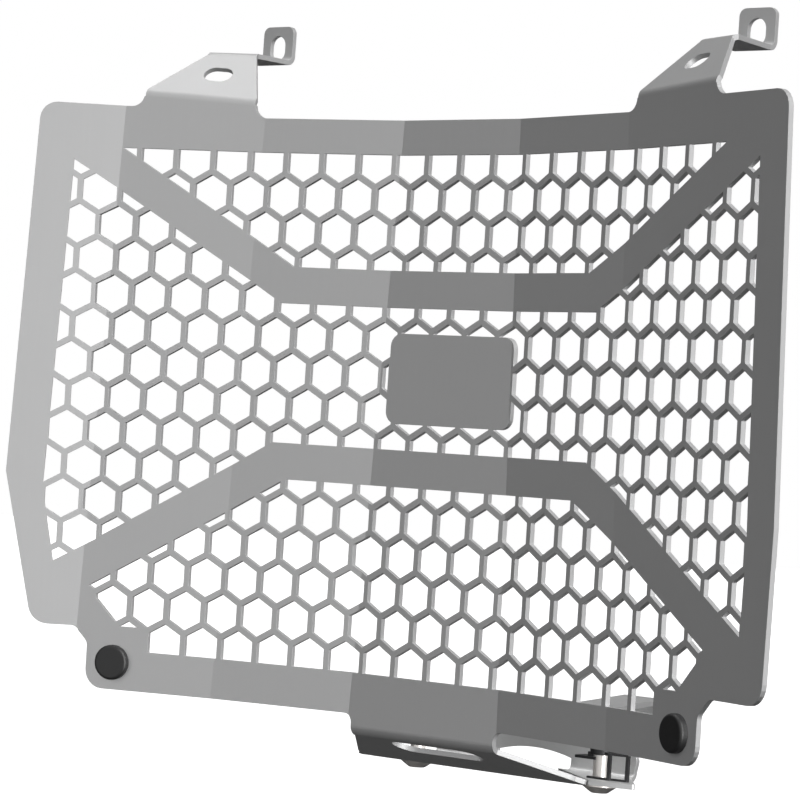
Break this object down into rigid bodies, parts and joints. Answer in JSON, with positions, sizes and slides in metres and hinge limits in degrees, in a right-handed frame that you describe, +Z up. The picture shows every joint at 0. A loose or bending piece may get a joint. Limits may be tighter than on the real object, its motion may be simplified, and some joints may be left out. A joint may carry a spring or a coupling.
{
  "type": "motorcycle radiator guard",
  "caption": "Folded hexagon-mesh sheet guard with bent top arms, a slotted lower flange and a bolted lower bracket.",
  "frame": {"origin": "midway between the slots of the two upright ears, on the ears' back faces", "axes": "+X to the right as seen from the front, +Y back towards the radiator, +Z up"},
  "size_m": [0.3623, 0.1317, 0.2968],
  "materials": {
    "sheet": "satin, lightly brushed",
    "bracket": "bright zinc, satin",
    "screw": "stainless, polished",
    "clip": "black phosphate spring steel",
    "bump": "matt moulded rubber"
  },
  "bodies": {
    "root": {"guard_sheet": "sheet", "lower_bracket": "bracket", "screw_left": "screw", "screw_right": "screw", "clip_nut_left": "clip", "clip_nut_right": "clip", "bump_stop_left": "bump", "bump_stop_right": "bump"}
  },
  "joints": []
}
